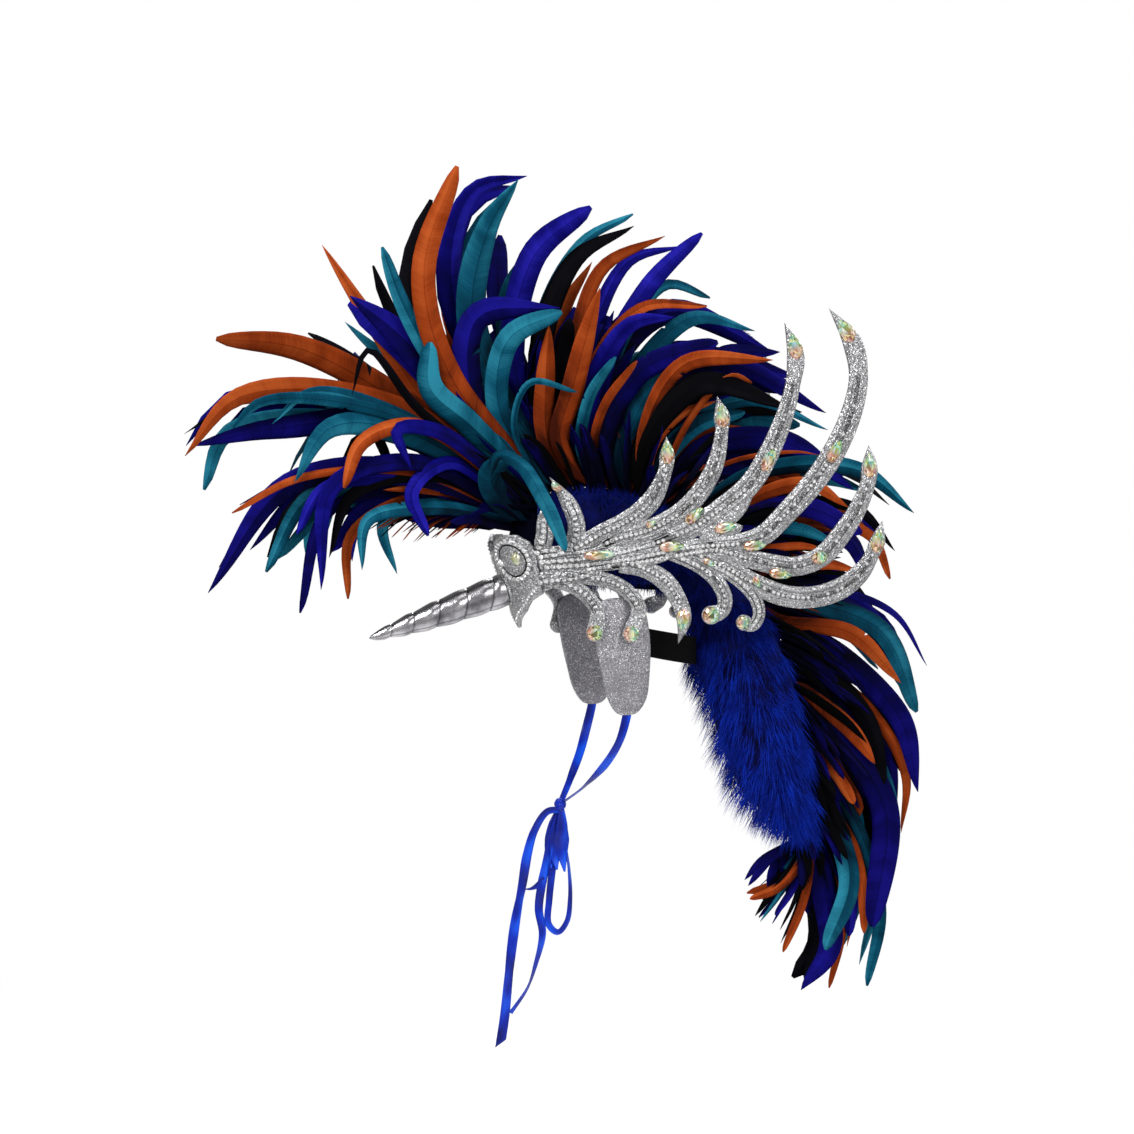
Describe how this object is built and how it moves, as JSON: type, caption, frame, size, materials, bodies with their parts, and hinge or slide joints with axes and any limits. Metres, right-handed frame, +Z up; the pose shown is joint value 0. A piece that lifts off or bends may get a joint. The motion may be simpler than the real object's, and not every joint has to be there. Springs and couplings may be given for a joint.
{
  "type": "showgirl feather headdress with a horn",
  "caption": "Head-worn costume piece: glitter foam brow shield with scroll wings, a ringed horn, a standing crest of curved feathers and satin chin ties.",
  "frame": {"origin": "centre of the wearer's head, between the temples, where the headdress is carried", "axes": "+Z up, the wearer faces -Y, and +X is the wearer's left"},
  "size_m": [0.3262, 0.829, 0.9468],
  "materials": {
    "glitter_foam": "foam sheet covered in fine silver glitter",
    "silver_leather": "thin metallic silver leather, softly creased",
    "rhinestone": "small foiled round stones set close together",
    "crystal": "foiled cut stones with a green and pink iridescent coating",
    "elastic": "flat ribbed black elastic",
    "dark_foam": "plain dark foam, hidden between the marabou rolls",
    "marabou": "fluffy royal blue marabou down",
    "cock_feather": "dyed cock feathers in navy, royal blue, orange, teal and black",
    "satin": "blue satin ribbon"
  },
  "bodies": {
    "root": {"front_shield": "glitter_foam", "horn": "silver_leather", "left_wing": "glitter_foam", "right_wing": "glitter_foam", "left_rhinestones": "rhinestone", "right_rhinestones": "rhinestone", "left_ear_flap": "glitter_foam", "right_ear_flap": "glitter_foam", "elastic_strap": "elastic", "crest_spine": "dark_foam", "left_marabou": "marabou", "right_marabou": "marabou", "plume_brow": "cock_feather", "plume_front": "cock_feather", "plume_top": "cock_feather", "plume_crown": "cock_feather", "plume_back": "cock_feather", "plume_nape": "cock_feather", "left_chin_ribbon": "satin", "right_chin_ribbon": "satin", "bow_knot": "satin", "bow_ribbons": "satin", "left_tip_one_crystal": "crystal", "left_tip_two_crystal": "crystal", "left_tip_three_crystal": "crystal", "left_tip_four_crystal": "crystal", "left_tip_five_crystal": "crystal", "left_tip_six_crystal": "crystal", "left_tip_drop_crystal": "crystal", "left_fork_root_crystal": "crystal", "left_fork_one_crystal": "crystal", "left_fork_two_crystal": "crystal", "left_fork_three_crystal": "crystal", "left_fork_four_crystal": "crystal", "left_fork_five_crystal": "crystal", "left_fork_six_crystal": "crystal", "left_round_ear_front_crystal": "crystal", "left_round_ear_back_crystal": "crystal", "left_round_scroll_front_crystal": "crystal", "left_round_scroll_back_crystal": "crystal", "right_tip_one_crystal": "crystal", "right_tip_two_crystal": "crystal", "right_tip_three_crystal": "crystal", "right_tip_four_crystal": "crystal", "right_tip_five_crystal": "crystal", "right_tip_six_crystal": "crystal", "right_tip_drop_crystal": "crystal", "right_fork_root_crystal": "crystal", "right_fork_one_crystal": "crystal", "right_fork_two_crystal": "crystal", "right_fork_three_crystal": "crystal", "right_fork_four_crystal": "crystal", "right_fork_five_crystal": "crystal", "right_fork_six_crystal": "crystal", "right_round_ear_front_crystal": "crystal", "right_round_ear_back_crystal": "crystal", "right_round_scroll_front_crystal": "crystal", "right_round_scroll_back_crystal": "crystal"}
  },
  "joints": []
}
